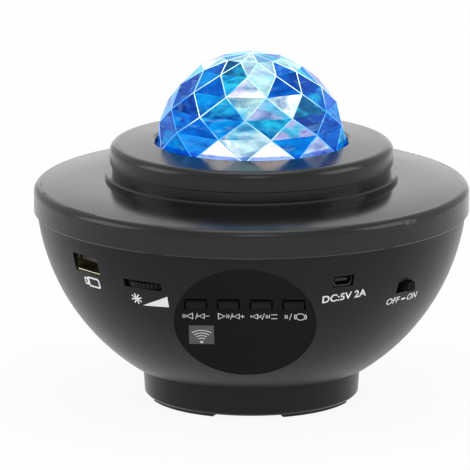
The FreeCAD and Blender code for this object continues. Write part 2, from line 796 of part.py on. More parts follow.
def diffraction_grating():
    top_swell = 1.0 if ripple_ribs % 2 else 1.0 - ripple_depth / ripple_radius
    top_z = ripple_foot_z() + ripple_radius * top_swell * math.sin(math.radians(ripple_top_latitude))
    return disc(grating_radius, top_z, grating_thickness)


def drive_pinion():
    axis = outward(motor_azimuth) * gear_centres
    wheel = gear(pinion_teeth, gear_width, motor_shaft_radius, rotor_z, gear_backlash)
    turn = 180.0 + 180.0 / pinion_teeth
    wheel.rotate(origin, up, turn)
    wheel.translate(axis)
    return wheel


def motor_shaft():
    axis = outward(motor_azimuth) * gear_centres
    low = tray_height_z - 3.0
    return disc(motor_shaft_radius, low, rotor_z + gear_width - low, axis.x, axis.y)


def gear_motor():
    axis = outward(motor_azimuth) * gear_centres
    top = tray_height_z
    body = disc(motor_radius, top - motor_length, motor_length, axis.x, axis.y)
    ears = block(2 * motor_radius + 10.0, 5.0, 1.2, 0, 0, top - 1.2)
    ears.translate(axis)
    body = body.fuse(ears)
    bore = disc(motor_shaft_radius + running_clearance, top - 3.4, 3.4, axis.x, axis.y)
    return body.cut(bore).removeSplitter()


def led_board_z():
    return tray_height_z + 2.0


def heat_sink():
    top = led_board_z()
    sink = disc(heat_sink_radius, top - heat_sink_base, heat_sink_base)
    pitch = 2 * heat_sink_radius / (heat_sink_fins + 1)
    for i in range(heat_sink_fins):
        x = (i + 1) * pitch - heat_sink_radius
        fin = Part.makeBox(heat_sink_fin_thickness, 2 * heat_sink_radius, heat_sink_depth,
                           Vector(x - heat_sink_fin_thickness / 2, -heat_sink_radius,
                                  top - heat_sink_base - heat_sink_depth))
        sink = sink.fuse(fin.common(disc(heat_sink_radius, fin.BoundBox.ZMin, heat_sink_depth)))
    lugs = around(Part.makeBox(hub_bore, 4.0, heat_sink_base, Vector(0, -2.0, top - heat_sink_base)), 3)
    sink = sink.fuse(Part.makeCompound(lugs).common(disc(hub_bore, top - heat_sink_base, heat_sink_base)))
    return sink.cut(disc(laser_radius, top - laser_length, laser_length)).removeSplitter()


def led_board():
    return tube(laser_radius, led_board_radius, led_board_z(), led_board_thickness)


def led_lamps():
    top = led_board_z() + led_board_thickness
    lamp = block(led_size, led_size, led_height, 0, 0, top)
    lens = Part.makeCone(led_size * 0.4, led_size * 0.2, led_height / 2, Vector(0, 0, top + led_height))
    one = lamp.fuse(lens)
    one.translate(Vector(led_circle, 0, 0))
    return Part.makeCompound(around(one, led_count, 30))


def laser_module():
    top = led_board_z() + led_board_thickness + 1.5
    barrel = disc(laser_radius - 0.05, top - laser_length, laser_length)
    return barrel.cut(disc(1.2, top - 2.0, 2.0))


# Main board

def main_board():
    """A crescent of circuit board behind the sockets, notched round the thumbwheel."""
    board = tube(board_inner_radius, board_outer_radius, board_bottom_z, board_thickness)
    sweep = board_last_azimuth - board_first_azimuth
    wedge = Part.makeCylinder(board_outer_radius + 5, board_thickness, Vector(0, 0, board_bottom_z), up, sweep)
    wedge.rotate(origin, up, board_first_azimuth - 90)
    board = board.common(wedge)
    axis = wheel_axis()
    board = board.cut(disc(wheel_radius + 0.8, board_bottom_z, board_thickness, axis.x, axis.y))
    board = board.cut(key_bay())
    for spot in board_post_spots():
        board = board.cut(disc(board_screw_radius + screw_clearance, board_bottom_z, board_thickness, spot.x, spot.y))
    return max(board.removeSplitter().Solids, key=lambda solid: solid.Volume)


def key_bay():
    """The space that the tilted key board and its screws take up in the main board."""
    depth = key_board_gap + key_board_thickness + board_screw_head_height + 0.6
    bay = block(key_board_width + 2, key_board_height + 2, depth + 2, 0, 0, -depth)
    ring = Part.makeCylinder(panel_radius + panel_collar_wall + 0.4, depth, Vector(0, 0, -panel_thickness - panel_ledge - 0.4))
    return on_panel(bay.fuse(ring))


def main_board_screws():
    screws = []
    for spot in board_post_spots():
        screws.append(screw(board_screw_radius, board_screw_length, board_screw_head_radius,
                            board_screw_head_height, spot.x, spot.y, board_top_z, True))
    return Part.makeCompound(screws)


def socket_front(z, half_width):
    """How far out a socket's mouth may come, so that its corners stay inside the bowl's surface."""
    reach = bowl_radius_at(z)
    return math.sqrt(reach ** 2 - half_width ** 2) - socket_setback


def usb_socket_shell():
    front = socket_front(usb_z() - usb_height / 2, usb_width / 2)
    outer = block(usb_width + 2 * usb_metal, usb_height + 2 * usb_metal, usb_depth, 0, 0, front - usb_depth)
    inner = block(usb_width, usb_height, usb_depth, 0, 0, front - usb_depth + 1.0)
    return on_wall(outer.cut(inner), usb_azimuth, usb_z())


def usb_socket_tongue():
    front = socket_front(usb_z() - usb_height / 2, usb_width / 2)
    back = front - usb_depth + 1.0
    tongue = block(usb_width - 1.6, usb_tongue_thickness, usb_depth - 2.4, 0, usb_height / 2 - 1.3, back)
    root = block(usb_width, usb_height, 1.5, 0, 0, back)
    return on_wall(tongue.fuse(root).removeSplitter(), usb_azimuth, usb_z())


def dc_outline(width, height):
    """The small socket's outline: straight sides above, drawn in below."""
    x, y = width / 2, height / 2
    corners = [Vector(-x, y, 0), Vector(x, y, 0), Vector(x, 0, 0), Vector(x - 0.8, -y, 0),
               Vector(0.8 - x, -y, 0), Vector(-x, 0, 0)]
    return Part.Face(Part.makePolygon(corners + [corners[0]]))


def dc_socket_shell():
    front = socket_front(dc_z() - dc_height / 2, dc_width / 2)
    outer = dc_outline(dc_width, dc_height).extrude(Vector(0, 0, dc_depth))
    inner = dc_outline(dc_width - 2 * dc_metal, dc_height - 2 * dc_metal).extrude(Vector(0, 0, dc_depth))
    inner.translate(Vector(0, 0, 0.8))
    shell = outer.cut(inner)
    shell.translate(Vector(0, 0, front - dc_depth))
    return on_wall(shell, dc_azimuth, dc_z())


def dc_socket_tongue():
    front = socket_front(dc_z() - dc_height / 2, dc_width / 2)
    back = front - dc_depth + 0.8
    return on_wall(block(dc_width - 2.8, dc_tongue_thickness, dc_depth - 1.8, 0, 0.2, back), dc_azimuth, dc_z())


def dimmer_base():
    """The thumbwheel's fixed half: a round resistor body, its arm under the board and the axle."""
    axis = wheel_axis()
    low = wheel_z() - wheel_thickness / 2 - 0.1 - dimmer_body_height
    body = Part.makeCylinder(dimmer_body_radius, dimmer_body_height)
    arm = Part.makeBox(dimmer_arm_width, dimmer_arm_length, dimmer_body_height,
                       Vector(-dimmer_arm_width / 2, 0, 0))
    axle = Part.makeCylinder(wheel_bore_radius - running_clearance, dimmer_body_height + wheel_thickness + 0.4)
    body = body.fuse(arm).fuse(axle).removeSplitter()
    inward = outward(wheel_azimuth) * -1
    matrix_x = up.cross(inward) * -1
    moved = placed(body, axis + Vector(0, 0, low), matrix_x, inward, up)
    return moved


def dimmer_wheel():
    axis = wheel_axis()
    low = wheel_z() - wheel_thickness / 2
    wheel = disc(wheel_radius, low, wheel_thickness)
    tip = Vector(wheel_radius - wheel_notch_depth, 0, low)
    mouth = [Vector(wheel_radius + wheel_notch_depth, side, low) for side in (-wheel_notch_depth, wheel_notch_depth)]
    notch = Part.Face(Part.makePolygon([tip] + mouth + [tip])).extrude(Vector(0, 0, wheel_thickness))
    wheel = wheel.cut(Part.makeCompound(around(notch, wheel_notches)))
    wheel = wheel.cut(disc(wheel_bore_radius, low, wheel_thickness))
    wheel.translate(axis)
    return wheel


def switch_front():
    """Where the slide switch's body stops, just inside the bowl wall at its corners."""
    low_z = switch_z - switch_body_height / 2
    reach = bowl_radius_at(low_z, bowl_inner_radius)
    return math.sqrt(reach ** 2 - (switch_body_width / 2) ** 2) - 0.2


def slide_switch_body():
    front = switch_front()
    height = board_bottom_z - switch_z + switch_body_height / 2
    body = block(switch_body_width, height, switch_body_depth, 0,
                 (height - switch_body_height) / 2, front - switch_body_depth)
    gap = 0.1
    slot = block(switch_knob_width + switch_travel + 2 * gap, switch_knob_height + 2 * gap, 2.4, 0, 0, front - 2.4)
    return on_wall(body.cut(slot), switch_azimuth, switch_z)


def slide_switch_knob():
    """The switch's knob, at its ON end."""
    front = switch_front()
    reach = bowl_radius_at(switch_z) + switch_knob_proud
    knob = rounded_block(switch_knob_width, switch_knob_height, reach - front + 2.2, 0.4,
                         switch_travel / 2, 0, front - 2.2)
    groove = Part.makeBox(0.5, switch_knob_height, 0.5)
    for i in (-1, 0, 1):
        cut = groove.copy()
        cut.translate(Vector(switch_travel / 2 + i * 1.0 - 0.25, -switch_knob_height / 2, reach - 0.5))
        knob = knob.cut(cut)
    return on_wall(knob, switch_azimuth, switch_z)


# Every piece by name
pieces = {
    "bowl_shell": bowl_shell,
    "base_drum": base_drum,
    "rubber_feet": rubber_feet,
    "base_screws": base_screws,
    "speaker_basket": speaker_basket,
    "speaker_cone": speaker_cone,
    "speaker_magnet": speaker_magnet,
    "top_cover": top_cover,
    "dome_collar": dome_collar,
    "collar_screws": collar_screws,
    "crystal_dome": crystal_dome,
    "lamp_tray": lamp_tray,
    "rotor_gear": rotor_gear,
    "ripple_dome": ripple_dome,
    "diffraction_grating": diffraction_grating,
    "drive_pinion": drive_pinion,
    "motor_shaft": motor_shaft,
    "gear_motor": gear_motor,
    "heat_sink": heat_sink,
    "led_board": led_board,
    "led_lamps": led_lamps,
    "laser_module": laser_module,
    "control_panel": control_panel,
    "ir_window": ir_window,
    "ir_receiver": ir_receiver,
    "key_board": key_board,
    "key_board_screws": key_board_screws,
    "main_board": main_board,
    "main_board_screws": main_board_screws,
    "usb_socket_shell": usb_socket_shell,
    "usb_socket_tongue": usb_socket_tongue,
    "dc_socket_shell": dc_socket_shell,
    "dc_socket_tongue": dc_socket_tongue,
    "dimmer_base": dimmer_base,
    "dimmer_wheel": dimmer_wheel,
    "slide_switch_body": slide_switch_body,
    "slide_switch_knob": slide_switch_knob,
}

os.makedirs("parts", exist_ok=True)
for name, make in pieces.items():
    make().exportStep("parts/" + name + ".step")
for number, across in enumerate(key_spots, 1):
    key_button(across).exportStep("parts/key_button_%d.step" % number)
    switch_plunger(across).exportStep("parts/switch_plunger_%d.step" % number)
    tact_switch(across).exportStep("parts/tact_switch_%d.step" % number)
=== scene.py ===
import json
import math
import random

import bmesh
import bpy
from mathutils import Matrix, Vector


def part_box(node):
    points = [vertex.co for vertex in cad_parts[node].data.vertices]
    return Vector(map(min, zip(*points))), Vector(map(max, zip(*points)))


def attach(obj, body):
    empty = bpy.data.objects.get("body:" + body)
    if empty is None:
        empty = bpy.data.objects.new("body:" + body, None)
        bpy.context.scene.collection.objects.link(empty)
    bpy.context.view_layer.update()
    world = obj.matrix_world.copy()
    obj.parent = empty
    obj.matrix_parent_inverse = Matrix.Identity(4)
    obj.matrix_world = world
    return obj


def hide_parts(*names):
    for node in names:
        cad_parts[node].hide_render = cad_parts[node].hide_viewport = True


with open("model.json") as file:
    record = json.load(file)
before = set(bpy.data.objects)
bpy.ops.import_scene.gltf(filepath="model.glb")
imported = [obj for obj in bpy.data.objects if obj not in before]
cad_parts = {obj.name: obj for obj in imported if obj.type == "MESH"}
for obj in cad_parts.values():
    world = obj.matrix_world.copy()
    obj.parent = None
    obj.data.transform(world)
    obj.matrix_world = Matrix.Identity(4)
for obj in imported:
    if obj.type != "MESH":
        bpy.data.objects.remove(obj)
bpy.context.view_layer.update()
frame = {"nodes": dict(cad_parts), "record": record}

MM = 0.001

# Camera, fitted to the photo: the viewing angle, and a long lens because the photo is nearly parallel
PHOTO_SIZE = 470
PHOTO_AZIMUTH = 2.1
PHOTO_ELEVATION = 13.2
PIXELS_PER_MM = 2.661
CAMERA_DISTANCE = 3000 * MM
AIM_LEFT = 6.2 * MM
AIM_HEIGHT = 61.2 * MM
SENSOR_WIDTH = 36.0
VIEW_DEPTH = 50.0

# Studio: each softbox has a power in watts, a width and a place, and shines at the middle of the object
FLOOR_HALF_WIDTH = 6.0
FLOOR_LIFT = 0.92
ROOM_LIGHT = 0.9
LIGHT_TARGET = Vector((0, 0, 0.07))
SOFTBOXES = {
    "left_box": (9.0, 1.2, Vector((-1.8, -0.2, 0.9))),
    "right_box": (9.0, 1.2, Vector((1.8, -0.2, 0.9))),
    "top_box": (5.0, 1.0, Vector((0.0, 0.3, 1.8))),
    "back_box": (4.4, 1.6, Vector((0.0, 2.2, 0.85))),
    "edge_box": (2.0, 0.45, Vector((0.1, -1.3, 1.3))),
}

# The bowl and the control panel, as the printing follows them. The panel is tilted down from upright
BOWL_RADIUS = 81.0 * MM
BOWL_CENTRE = Vector((0, 0, 80.5 * MM))
PANEL_TILT = math.radians(28.5)
PANEL_DISTANCE = 76.54 * MM
PANEL_FACING = Vector((0, -math.cos(PANEL_TILT), -math.sin(PANEL_TILT)))
PANEL_RISE = Vector((0, -math.sin(PANEL_TILT), math.cos(PANEL_TILT)))
# Painted shade on the keys' upper edge, where they sink into the panel: how far up it begins, and how soft
# its border is
KEY_SHADE_UP = 9.0 * MM
KEY_SHADE_BLEND = 0.1 * MM

# Printing: half of the ink's thickness lies above the surface and half below
HALF_INK = 0.05 * MM
WELD_DISTANCE = 1e-7
LONG_EDGE = 2.0 * MM
LONG_EDGE_CUTS = 3
CAPITAL_SHARE = 0.69

# Marks on the bowl: azimuth in degrees and height of each
STICK_PLACE = (-48.2, 54.8 * MM)
SUN_PLACE = (-31.9, 51.95 * MM)
WEDGE_PLACE = (-26.0, 51.5 * MM)
DC_PLACE = (28.5, 54.0 * MM)
OFF_PLACE = (46.6, 48.5 * MM)
DASH_PLACE = (51.0, 48.5 * MM)
ON_PLACE = (55.0, 48.5 * MM)

# The labels' slope in degrees and the height of their capitals in millimetres
DC_SLOPE = 4.0
DC_CAPITAL = 2.9
SWITCH_CAPITAL = 2.7

# Marks on the panel, in millimetres across and up its face
ICON_ROW_UP = 2.9
BACK_START = -22.3
FORWARD_START = -9.4
MUTE_ACROSS = 3.7
MODE_ACROSS = 20.4
FAN_DOT = (-16.2, -10.0)
FAN_RADII = (1.9, 3.2, 4.5, 5.8)

# Crystal dome
DOME_RADIUS = 36.0 * MM
DOME_CENTRE = Vector((0, 0, 95.4 * MM))
DOME_WALL = 2.2 * MM
FACETS_AROUND = 11
FACET_LATITUDES = (2.0, 15.5, 27.5, 42.0, 58.0, 72.0)
FACET_AZIMUTH = -2.4
CROWN_LATITUDE = 84.0
RIDGE_WIDTH = 0.2 * MM
# Painted shade of the collar's lip on the dome's foot: its height, and how soft its border is
FOOT_SHADE_Z = 98.7 * MM
FOOT_SHADE_BLEND = 0.5 * MM
FACET_GLOW = 0.9
FACET_LAYERS = ("tint", "second_tint", "shift")
COLOUR_SEED = 7
TINT_RANGE = (0.9, 1.05)

# The dome's light, as linear colours. White is a highlight, brighter than a white surface
DEEP = (0.0, 0.07, 0.46)
ROYAL = (0.0, 0.14, 0.70)
AZURE = (0.0, 0.29, 0.84)
TEAL = (0.0, 0.14, 0.34)
CYAN = (0.02, 0.55, 0.86)
PALE = (0.52, 0.82, 0.96)
LILAC = (0.42, 0.47, 0.90)
WHITE = (1.35, 1.35, 1.4)

LOWER_PALETTE = (ROYAL, AZURE, DEEP, CYAN, ROYAL, PALE, AZURE, TEAL)
UPPER_PALETTE = (PALE, CYAN, LILAC, AZURE)
LAST_LOWER_RING = 3

# What the light in a facet wanders to, by the sum of the facet's own colour
PALE_SUM = 1.6
WITH_BLUE = (AZURE, ROYAL, CYAN, DEEP)
WITH_PALE = (PALE, WHITE, CYAN)

# The rhombs that face the camera: (ring, steps round from the middle one) to upper and lower colour
FRONT_RHOMBS = {
    (0, -1.5): (AZURE, AZURE), (0, -0.5): (WHITE, WHITE), (0, 0.5): (WHITE, WHITE), (0, 1.5): (LILAC, LILAC),
    (1, -2.0): (ROYAL, DEEP), (1, -1.0): (ROYAL, AZURE), (1, 0.0): (PALE, PALE),
    (1, 1.0): (LILAC, AZURE), (1, 2.0): (ROYAL, ROYAL),
    (2, -2.5): (ROYAL, AZURE), (2, -1.5): (DEEP, ROYAL), (2, -0.5): (CYAN, AZURE),
    (2, 0.5): (LILAC, CYAN), (2, 1.5): (TEAL, DEEP), (2, 2.5): (ROYAL, AZURE),
    (3, -2.0): (DEEP, ROYAL), (3, -1.0): (ROYAL, AZURE), (3, 0.0): (WHITE, PALE),
    (3, 1.0): (ROYAL, PALE), (3, 2.0): (DEEP, ROYAL),
    (4, -1.5): (ROYAL, AZURE), (4, -0.5): (TEAL, CYAN), (4, 0.5): (PALE, PALE), (4, 1.5): (ROYAL, DEEP),
    (5, -1.0): (PALE, TEAL), (5, 0.0): (PALE, PALE), (5, 1.0): (LILAC, PALE),
}

# Finishes. SHEEN_PATCHES is how many times finer the sheen varies than the colour
SMOOTH_ANGLE = math.radians(32)
FINE_GRAIN = 2600.0
GRAIN_HEIGHT = 0.1 * MM
SHEEN_PATCHES = 2.3


# Node helpers

def set_inputs(node, values):
    """Put constants on input sockets, named or numbered."""
    for socket, value in values.items():
        node.inputs[socket].default_value = value


def add_node(tree, kind, inputs=None, **properties):
    node = tree.nodes.new(kind)
    for name, value in properties.items():
        setattr(node, name, value)
    set_inputs(node, inputs or {})
    return node


def new_material(name):
    material = bpy.data.materials.new(name)
    material.use_nodes = True
    tree = material.node_tree
    tree.nodes.clear()
    output = tree.nodes.new("ShaderNodeOutputMaterial")
    shader = tree.nodes.new("ShaderNodeBsdfPrincipled")
    tree.links.new(shader.outputs["BSDF"], output.inputs["Surface"])
    return material, tree, shader


def object_coordinates(tree):
    return tree.nodes.new("ShaderNodeTexCoord").outputs["Object"]


def noise(tree, scale, detail=3.0, stretch=(1, 1, 1), vector=None, distortion=0.0):
    """A noise value in the object's own coordinates, in metres, or along another vector."""
    mapping = add_node(tree, "ShaderNodeMapping", {"Scale": stretch})
    tree.links.new(vector or object_coordinates(tree), mapping.inputs["Vector"])
    texture = add_node(tree, "ShaderNodeTexNoise", {
        "Scale": scale, "Detail": detail, "Distortion": distortion})
    tree.links.new(mapping.outputs["Vector"], texture.inputs["Vector"])
    return texture.outputs["Fac"]


def ramp(tree, factor, low, high, start=0.35, end=0.65):
    """Turns a value into a blend between two colours or two grey levels."""
    node = tree.nodes.new("ShaderNodeValToRGB")
    for element, position, colour in zip(node.color_ramp.elements, (start, end), (low, high)):
        element.position = position
        element.color = (*colour, 1)
    tree.links.new(factor, node.inputs["Fac"])
    return node.outputs["Color"]


def grey(level):
    return (level, level, level)


def mix_colours(tree, blend, factor, first, second):
    """Two colours mixed by a constant factor or by a socket's value."""
    node = add_node(tree, "ShaderNodeMix", data_type="RGBA", blend_type=blend)
    if isinstance(factor, float):
        node.inputs["Factor"].default_value = factor
    else:
        tree.links.new(factor, node.inputs["Factor"])
    tree.links.new(first, node.inputs["A"])
    tree.links.new(second, node.inputs["B"])
    return node.outputs["Result"]


def bump(tree, shader, height, strength, distance):
    node = add_node(tree, "ShaderNodeBump", {"Strength": strength, "Distance": distance})
    tree.links.new(height, node.inputs["Height"])
    tree.links.new(node.outputs["Normal"], shader.inputs["Normal"])


def seen_or_mirrored(tree):
    """1 for what the camera sees directly, in a reflection or through something clear, else 0."""
    paths = tree.nodes.new("ShaderNodeLightPath")
    result = paths.outputs["Is Camera Ray"]
    for kind in ("Is Glossy Ray", "Is Transmission Ray"):
        either = add_node(tree, "ShaderNodeMath", operation="MAXIMUM")
        tree.links.new(result, either.inputs[0])
        tree.links.new(paths.outputs[kind], either.inputs[1])
        result = either.outputs[0]
    return result


# Materials

def surface(name, dark, light, rough=(0.35, 0.45), grain=900.0, cloud=25.0, metallic=0.0, depth=0.02,
            specular=0.5, stretch=(1, 1, 1), darken=None):
    """A moulded, painted or metal finish: clouded colour and roughness, and a fine grain.

    darken, where given, is a function that makes the value to multiply the colour by, as painted shade.
    """
    material, tree, shader = new_material(name)
    colour = ramp(tree, noise(tree, cloud, 4.0, stretch), dark, light)
    if darken:
        colour = mix_colours(tree, "MULTIPLY", 1.0, colour, darken(tree))
    tree.links.new(colour, shader.inputs["Base Color"])
    sheen = ramp(tree, noise(tree, cloud * SHEEN_PATCHES, 2.0, stretch), grey(rough[0]), grey(rough[1]))
    tree.links.new(sheen, shader.inputs["Roughness"])
    set_inputs(shader, {"Metallic": metallic, "Specular IOR Level": specular})
    bump(tree, shader, noise(tree, grain, 2.0, stretch), depth, GRAIN_HEIGHT)
    return material


def painted_key_shade(tree):
    """Painted shade for the keys: 1 on the face of each key and 0 above it, on the edge that is sunk into the
    panel.
    """
    up_the_panel = add_node(tree, "ShaderNodeVectorMath", {1: PANEL_RISE}, operation="DOT_PRODUCT")
    tree.links.new(object_coordinates(tree), up_the_panel.inputs[0])
    edge = BOWL_CENTRE.dot(PANEL_RISE) + KEY_SHADE_UP
    shade = add_node(tree, "ShaderNodeMapRange", {
        "From Min": edge - KEY_SHADE_BLEND, "From Max": edge + KEY_SHADE_BLEND, "To Min": 1.0, "To Max": 0.0})
    tree.links.new(up_the_panel.outputs["Value"], shade.inputs["Value"])
    return shade.outputs["Result"]


def clear_surface(name, colour, rough, alpha):
    """A clear moulding, with faint flow marks in its finish."""
    material, tree, shader = new_material(name)
    flow = noise(tree, 60.0, 2.0)
    lighter = tuple(min(1, c * 1.08) for c in colour)
    tree.links.new(ramp(tree, flow, colour, lighter), shader.inputs["Base Color"])
    set_inputs(shader, {"Roughness": rough, "Alpha": alpha})
    bump(tree, shader, flow, 0.05, 0.2 * MM)
    return material


def circuit_surface():
    """Green solder mask with lighter tracks along a grid."""
    material, tree, shader = new_material("circuit_board")
    tracks = add_node(tree, "ShaderNodeTexBrick", {
        "Scale": 180.0, "Color1": (0.006, 0.06, 0.025, 1), "Color2": (0.008, 0.075, 0.03, 1),
        "Mortar": (0.02, 0.14, 0.06, 1)})
    tree.links.new(object_coordinates(tree), tracks.inputs["Vector"])
    tree.links.new(tracks.outputs["Color"], shader.inputs["Base Color"])
    set_inputs(shader, {"Roughness": 0.35})
    bump(tree, shader, noise(tree, 700.0), 0.05, 0.05 * MM)
    return material


def lamp_surface():
    """The lit lenses of the lamps."""
    material, tree, shader = new_material("lamp_lens")
    glow = ramp(tree, noise(tree, 300.0), (0.72, 0.744, 0.8), (0.9, 0.93, 1.0))
    tree.links.new(glow, shader.inputs["Base Color"])
    tree.links.new(glow, shader.inputs["Emission Color"])
    set_inputs(shader, {"Emission Strength": 1.0, "Roughness": 0.3})
    return material


def facet_surface():
    """The lit facets: marbled light that wanders between two colours of each facet's own."""
    material, tree, shader = new_material("lit_facets")
    tint, second_tint, shift = (
        add_node(tree, "ShaderNodeAttribute", attribute_name=name) for name in FACET_LAYERS)
    coords = object_coordinates(tree)
    moved = add_node(tree, "ShaderNodeVectorMath", operation="ADD")
    tree.links.new(coords, moved.inputs[0])
    tree.links.new(shift.outputs["Vector"], moved.inputs[1])
    wander = noise(tree, 70.0, 3.0, (1, 1, 1.8), moved.outputs[0], 1.2)
    marble = noise(tree, 95.0, 5.0, (1, 1, 2.6), moved.outputs[0], 0.8)
    streaks = noise(tree, 120.0, 4.0, (1, 1, 4.0), moved.outputs[0], 0.6)

    blend = ramp(tree, wander, grey(0.0), grey(0.85), 0.47, 0.62)
    both = mix_colours(tree, "MIX", blend, tint.outputs["Color"], second_tint.outputs["Color"])
    shade = ramp(tree, marble, (0.4, 0.48, 0.66), (1.25, 1.2, 1.12), 0.32, 0.60)
    shaded = mix_colours(tree, "MULTIPLY", 1.0, both, shade)
    light = ramp(tree, streaks, grey(0.0), (0.25, 0.55, 0.75), 0.56, 0.76)
    lit = mix_colours(tree, "SCREEN", 0.45, shaded, light)
    glow = mix_colours(tree, "MULTIPLY", 1.0, lit, foot_shade(tree, coords))
    tree.links.new(glow, shader.inputs["Emission Color"])

    unlit = mix_colours(tree, "MULTIPLY", 1.0, glow, ramp(tree, marble, grey(0.04), grey(0.08)))
    tree.links.new(unlit, shader.inputs["Base Color"])
    set_inputs(shader, {"Emission Strength": FACET_GLOW, "Roughness": 0.06, "Specular IOR Level": 0.06})
    return material


def foot_shade(tree, coords):
    """Painted shade of the collar's lip at the dome's foot: deep blue there, inside the collar, and white
    above.
    """
    split = tree.nodes.new("ShaderNodeSeparateXYZ")
    tree.links.new(coords, split.inputs["Vector"])
    height = add_node(tree, "ShaderNodeMapRange", {
        "From Min": FOOT_SHADE_Z, "From Max": FOOT_SHADE_Z + FOOT_SHADE_BLEND})
    tree.links.new(split.outputs["Z"], height.inputs["Value"])
    return ramp(tree, height.outputs["Result"], (0.25, 0.4, 0.85), grey(1.0), 0.0, 1.0)


def ridge_surface():
    """The polished edges between rhombs, which carry the lamps' light as bright lines."""
    material, tree, shader = new_material("lit_ridges")
    glow = ramp(tree, noise(tree, 45.0), (0.02, 0.28, 0.80), (0.75, 0.95, 1.0), 0.44, 0.64)
    tree.links.new(glow, shader.inputs["Emission Color"])
    tree.links.new(glow, shader.inputs["Base Color"])
    set_inputs(shader, {"Emission Strength": FACET_GLOW, "Roughness": 0.1})
    return material


# Mesh helper

def finish_mesh(bm, name, materials):
    """Turn a bmesh into a piece that rides on the housing."""
    mesh = bpy.data.meshes.new(name)
    bm.to_mesh(mesh)
    bm.free()
    for material in materials:
        mesh.materials.append(material)
    piece = bpy.data.objects.new(name, mesh)
    bpy.context.scene.collection.objects.link(piece)
    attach(piece, "housing")
    return piece


# Crystal dome

def dome_rise(latitude):
    return Vector((0, 0, DOME_RADIUS * math.sin(math.radians(latitude))))


def dome_point(azimuth, latitude):
    turn = math.radians(azimuth)
    outward = Vector((math.sin(turn), -math.cos(turn), 0))
    return DOME_CENTRE + outward * (DOME_RADIUS * math.cos(math.radians(latitude))) + dome_rise(latitude)


def dome_corners(bm):
    """The rings of corners, each turned half a step from the one below, with the foot and the crown."""
    foot_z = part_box("crystal_dome")[0].z
    rings = []
    for row, latitude in enumerate(FACET_LATITUDES):
        ring = []
        for i in range(FACETS_AROUND):
            azimuth = FACET_AZIMUTH + 360.0 * (i + 0.5 * (row % 2)) / FACETS_AROUND
            ring.append(bm.verts.new(dome_point(azimuth, latitude)))
        rings.append(ring)
    foot = [bm.verts.new(Vector((v.co.x, v.co.y, foot_z))) for v in rings[0]]
    crown = bm.verts.new(DOME_CENTRE + dome_rise(CROWN_LATITUDE))
    return rings, foot, crown


def rhomb_colours(dice, ring, i):
    """Upper and lower colour of a rhomb: chosen for the front ones and drawn for the rest."""
    steps = i + 0.5 if ring % 2 == 0 else i + 1.0
    steps = (steps + FACETS_AROUND / 2) % FACETS_AROUND - FACETS_AROUND / 2
    if (ring, steps) in FRONT_RHOMBS:
        return FRONT_RHOMBS[(ring, steps)]
    palette = UPPER_PALETTE if ring > LAST_LOWER_RING else LOWER_PALETTE
    return dice.choice(palette), dice.choice(palette)


def crystal_dome(facets, ridges):
    """The faceted dome as one closed shell. Edges between rhombs are cut as narrow polished ridges."""
    bm = bmesh.new()
    tint, second_tint, shift = (bm.loops.layers.float_color.new(name) for name in FACET_LAYERS)
    dice = random.Random(COLOUR_SEED)
    rings, foot, crown = dome_corners(bm)

    def add_facet(corners, colour):
        own = (*[c * dice.uniform(*TINT_RANGE) for c in colour], 1)
        other = (*dice.choice(WITH_BLUE if sum(colour) < PALE_SUM else WITH_PALE), 1)
        move = (dice.uniform(-1, 1), dice.uniform(-1, 1), dice.uniform(-1, 1), 1)
        for loop in bm.faces.new(corners).loops:
            loop[tint] = own
            loop[second_tint] = other
            loop[shift] = move

    for i in range(FACETS_AROUND):
        j = (i + 1) % FACETS_AROUND
        add_facet((foot[i], foot[j], rings[0][j], rings[0][i]), DEEP)
        for row, ring in enumerate(rings):
            upper, lower = rhomb_colours(dice, row, i)
            beside = i if row % 2 == 0 else j
            above = rings[row + 1][beside] if row + 1 < len(rings) else crown
            add_facet((ring[i], ring[j], above), upper)
            if row > 0:
                add_facet((ring[j], ring[i], rings[row - 1][beside]), lower)
    bm.normal_update()

    cut_ridges(bm, rings, crown)
    piece = finish_mesh(bm, "faceted_dome", (facets, ridges))
    shell = piece.modifiers.new("wall", "SOLIDIFY")
    shell.thickness = DOME_WALL
    shell.offset = -1
    return piece


def cut_ridges(bm, rings, crown):
    """Cut the edges that climb from ring to ring, which are the borders between rhombs."""
    rows = {corner: row for row, ring in enumerate(rings) for corner in ring}
    rows[crown] = len(rings)
    borders = []
    for edge in bm.edges:
        a, b = edge.verts
        if a in rows and b in rows and rows[a] != rows[b]:
            borders.append(edge)
    bmesh.ops.bevel(bm, geom=borders, offset=RIDGE_WIDTH, offset_type="OFFSET", segments=1, profile=0.5,
                    affect="EDGES", material=1, clamp_overlap=True)
    bmesh.ops.recalc_face_normals(bm, faces=bm.faces)


# Flat shapes for the printing, drawn in millimetres

def curve_to_mesh(curve):
    holder = bpy.data.objects.new("holder", curve)
    bpy.context.scene.collection.objects.link(holder)
    bpy.context.view_layer.update()
    mesh = bpy.data.meshes.new_from_object(holder)
    bpy.data.objects.remove(holder)
    return mesh


def flat_shape(*outlines):
    """A flat filled mesh from closed outlines. Outlines inside others are holes."""
    curve = bpy.data.curves.new("outline", "CURVE")
    curve.dimensions = "2D"
    curve.fill_mode = "BOTH"
    for outline in outlines:
        spline = curve.splines.new("POLY")
        spline.points.add(len(outline) - 1)
        for point, (x, y) in zip(spline.points, outline):
            point.co = (x * MM, y * MM, 0, 1)
        spline.use_cyclic_u = True
    return curve_to_mesh(curve)


def flat_text(words, capital, spacing=1.0, bold=0.0):
    """Words as a flat filled mesh, centred. capital is the height of a capital letter, in millimetres."""
    curve = bpy.data.curves.new("words", "FONT")
    curve.body = words
    curve.size = capital * MM / CAPITAL_SHARE
    curve.space_character = spacing
    curve.offset = bold * MM
    curve.align_x = "CENTER"
    curve.align_y = "CENTER"
    return curve_to_mesh(curve)


